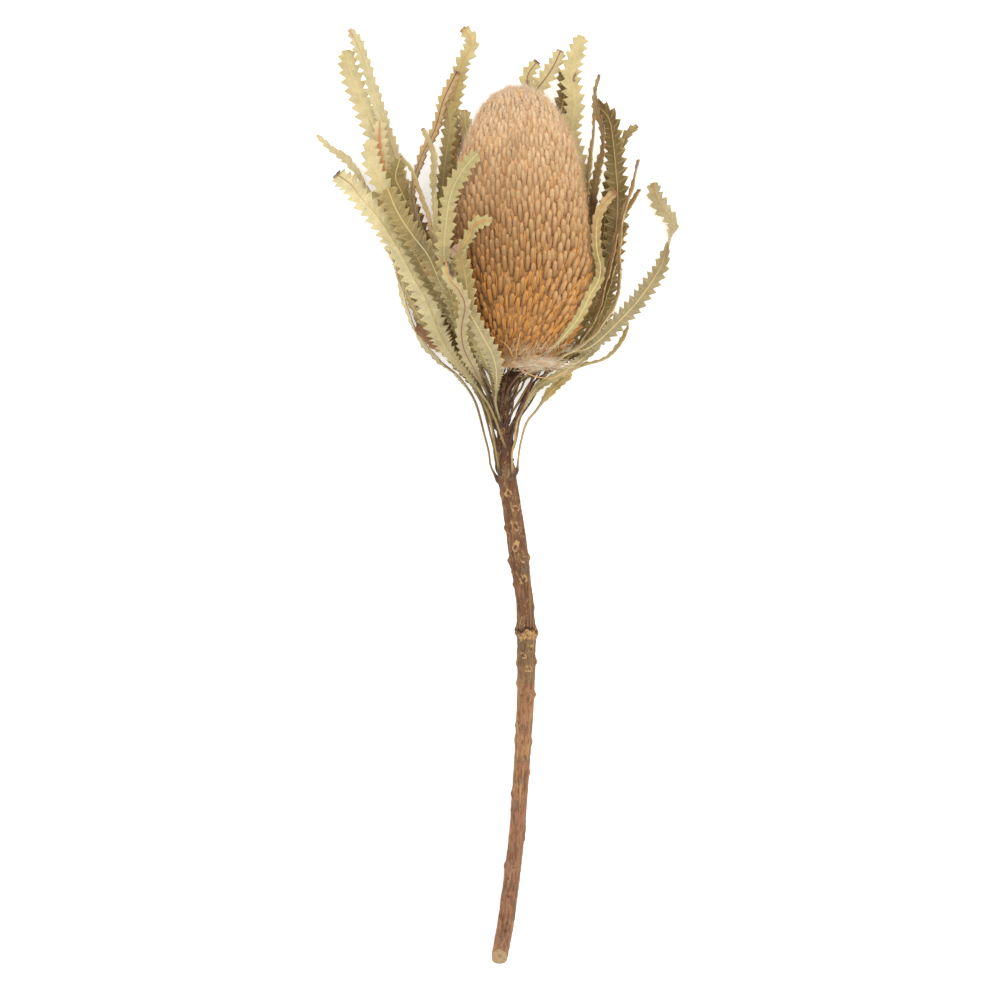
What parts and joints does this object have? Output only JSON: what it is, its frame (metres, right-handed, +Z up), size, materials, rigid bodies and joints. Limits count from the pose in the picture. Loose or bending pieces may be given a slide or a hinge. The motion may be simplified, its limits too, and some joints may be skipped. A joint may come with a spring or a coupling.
{
  "type": "dried banksia cone",
  "caption": "Dried banksia flower cone on a long cut woody stem, with long narrow saw-toothed leaves round it, lying on its side.",
  "frame": {"origin": "bottom centre of the bounding box, on the surface it lies on", "axes": "+Y along the stem towards the cone's tip, +Z up from the surface, +X to the right with the tip pointing away"},
  "size_m": [0.1644, 0.4232, 0.0691],
  "materials": {
    "stem_bark": "matte, dark brown ridged bark",
    "cone_florets": "matte, woolly tan florets",
    "dry_leaf": "matte, dried olive-green leaf"
  },
  "bodies": {
    "root": {"stem": "stem_bark", "cone": "cone_florets", "leaf_left_outer": "dry_leaf", "leaf_left_low": "dry_leaf", "leaf_left_big": "dry_leaf", "leaf_left_folded": "dry_leaf", "leaf_left_inner": "dry_leaf", "leaf_left_stalked": "dry_leaf", "leaf_front_left": "dry_leaf", "leaf_front_left_short": "dry_leaf", "leaf_left_lower": "dry_leaf", "leaf_left_olive": "dry_leaf", "leaf_left_grey": "dry_leaf", "leaf_upper_left_first": "dry_leaf", "leaf_upper_left_second": "dry_leaf", "leaf_left_brown_tip": "dry_leaf", "leaf_left_toothed": "dry_leaf", "leaf_top_tall": "dry_leaf", "leaf_top_dark": "dry_leaf", "leaf_top_olive": "dry_leaf", "leaf_beside_dome": "dry_leaf", "leaf_over_cone": "dry_leaf", "leaf_top_narrow": "dry_leaf", "leaf_left_edge_on": "dry_leaf", "leaf_small_over_cone": "dry_leaf", "leaf_right_big": "dry_leaf", "leaf_right_thin": "dry_leaf", "leaf_right_dark": "dry_leaf", "leaf_right_front": "dry_leaf", "leaf_right_shaded": "dry_leaf", "leaf_right_pale": "dry_leaf", "leaf_behind_right": "dry_leaf", "leaf_behind_right_short": "dry_leaf", "leaf_behind_dome": "dry_leaf", "leaf_behind_dome_slant": "dry_leaf", "leaf_right_narrow_first": "dry_leaf", "leaf_right_narrow_second": "dry_leaf", "leaf_right_narrow_third": "dry_leaf", "leaf_right_behind": "dry_leaf", "leaf_right_lowest": "dry_leaf", "leaf_right_front_low": "dry_leaf"}
  },
  "joints": []
}
